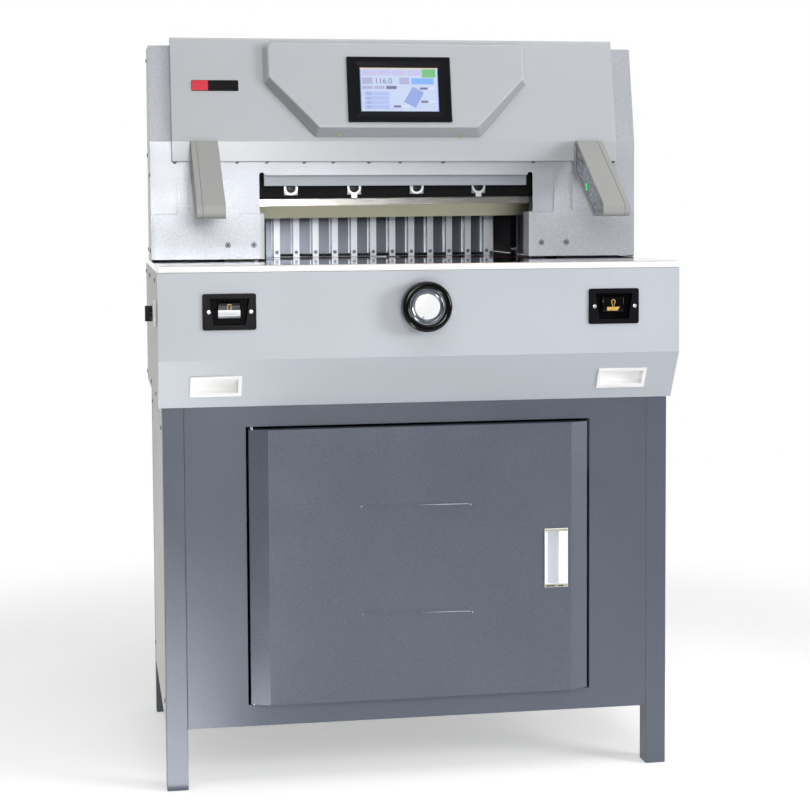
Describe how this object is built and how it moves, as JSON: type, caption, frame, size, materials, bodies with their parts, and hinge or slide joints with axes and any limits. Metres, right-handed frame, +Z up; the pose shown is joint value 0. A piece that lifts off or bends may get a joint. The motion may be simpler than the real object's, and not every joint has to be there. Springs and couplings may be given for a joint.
{
  "type": "electric paper cutter",
  "caption": "Electric guillotine paper cutter on a cabinet stand, with a sloping control head, light barrier arms, a moving knife, clamp and back gauge.",
  "frame": {"origin": "middle of the footprint, on the floor", "axes": "+Z up, -Y towards the operator in front, +X to the operator's right"},
  "size_m": [0.9654, 0.9762, 1.3686],
  "materials": {
    "arm_plastic": "satin",
    "beige_paint": "satin",
    "black_iron": "black paint",
    "black_plastic": "satin",
    "cast_aluminium": "satin",
    "cast_iron": "grey paint",
    "grey_paint": "semi-gloss",
    "knife_steel": "ground and oiled",
    "light_paint": "fine texture",
    "polished_steel": "polished",
    "red_plastic": "matt",
    "screen_glass": "lit touch screen",
    "stand_paint": "satin",
    "white_plastic": "semi-gloss"
  },
  "bodies": {
    "frame": {"barrier_arm_left": "arm_plastic", "barrier_arm_right": "arm_plastic", "base_plate": "black_iron", "body_rear_cover": "grey_paint", "bracket_plate_left": "light_paint", "bracket_plate_right": "light_paint", "button_bezel_left": "black_plastic", "button_bezel_right": "black_plastic", "control_box": "grey_paint", "cutting_stick": "red_plastic", "display_bezel": "black_plastic", "display_screen": "screen_glass", "door_hinge_pin": "polished_steel", "drive_gearmotor": "black_iron", "front_apron": "grey_paint", "head_cover": "grey_paint", "head_front_plate": "light_paint", "head_rear_cover": "grey_paint", "head_side_left": "grey_paint", "head_side_right": "grey_paint", "leg_front_left": "stand_paint", "leg_front_right": "stand_paint", "leg_rear_left": "stand_paint", "leg_rear_right": "stand_paint", "main_switch_base": "white_plastic", "power_inlet": "black_plastic", "pull_grip_left": "white_plastic", "pull_grip_right": "white_plastic", "rear_table": "polished_steel", "rear_table_hood": "grey_paint", "side_cover_left": "beige_paint", "side_cover_right": "beige_paint", "side_frame_left": "cast_iron", "side_frame_right": "cast_iron", "spindle_trough": "grey_paint", "stand_back_panel": "stand_paint", "stand_floor": "stand_paint", "stand_front_panel": "stand_paint", "stand_side_left": "beige_paint", "stand_side_right": "beige_paint", "table_edge_strip": "white_plastic", "table_plate": "polished_steel", "throat_guard": "grey_paint"},
    "door": {"cabinet_door": "stand_paint", "door_pull": "white_plastic"},
    "knife": {"knife_beam": "black_iron", "knife_blade": "knife_steel", "knife_bolt_1": "polished_steel", "knife_bolt_2": "polished_steel", "knife_bolt_3": "polished_steel", "knife_bolt_4": "polished_steel"},
    "clamp": {"clamp_beam": "cast_iron"},
    "gauge": {"back_gauge": "cast_aluminium"},
    "spindle": {"handwheel": "black_plastic", "handwheel_disc": "polished_steel", "gauge_spindle": "polished_steel"},
    "button_left": {"start_button_left": "black_plastic"},
    "button_right": {"start_button_right": "black_plastic"},
    "main_switch": {"main_switch_knob": "black_plastic"},
    "crank": {"drive_crank": "cast_iron"}
  },
  "joints": [
    {"name": "door_hinge", "type": "hinge", "parent": "frame", "child": "door", "pos_m": [-0.29685, -0.4029, 0.4], "axis": [0, 0, -1], "range_deg": [0, 105]},
    {"name": "knife_slide", "type": "slide", "parent": "frame", "child": "knife", "axis": [-0.2469, 0, -0.969], "range_m": [0, 0.081]},
    {"name": "clamp_slide", "type": "slide", "parent": "frame", "child": "clamp", "axis": [0, 0, -1], "range_m": [0, 0.0845]},
    {"name": "gauge_slide", "type": "slide", "parent": "frame", "child": "gauge", "axis": [0, 1, 0], "range_m": [-0.068, 0.385]},
    {"name": "handwheel_turn", "type": "hinge", "parent": "frame", "child": "spindle", "pos_m": [0.01015, -0.4581, 0.87], "axis": [0, 1, 0], "range_deg": [-2440, 13850]},
    {"name": "button_left_press", "type": "slide", "parent": "frame", "child": "button_left", "axis": [0, 1, 0], "range_m": [0, 0.004], "stiffness_N_per_m": 600, "springref_m": -0.002},
    {"name": "button_right_press", "type": "slide", "parent": "frame", "child": "button_right", "axis": [0, 1, 0], "range_m": [0, 0.004], "stiffness_N_per_m": 600, "springref_m": -0.002},
    {"name": "main_switch_turn", "type": "hinge", "parent": "frame", "child": "main_switch", "pos_m": [-0.46965, -0.4019, 0.861], "axis": [1, 0, 0], "range_deg": [0, 90]},
    {"name": "crank_turn", "type": "hinge", "parent": "frame", "child": "crank", "pos_m": [0.31515, -0.1569, 0.8], "axis": [0, 1, 0], "range_deg": [0, 180]}
  ],
  "couplings": [
    {"joint": "gauge_slide", "follows": "handwheel_turn", "m_per_rad": 0.0015915},
    {"joint": "crank_turn", "follows": "knife_slide", "rad_per_m": 38.78}
  ]
}
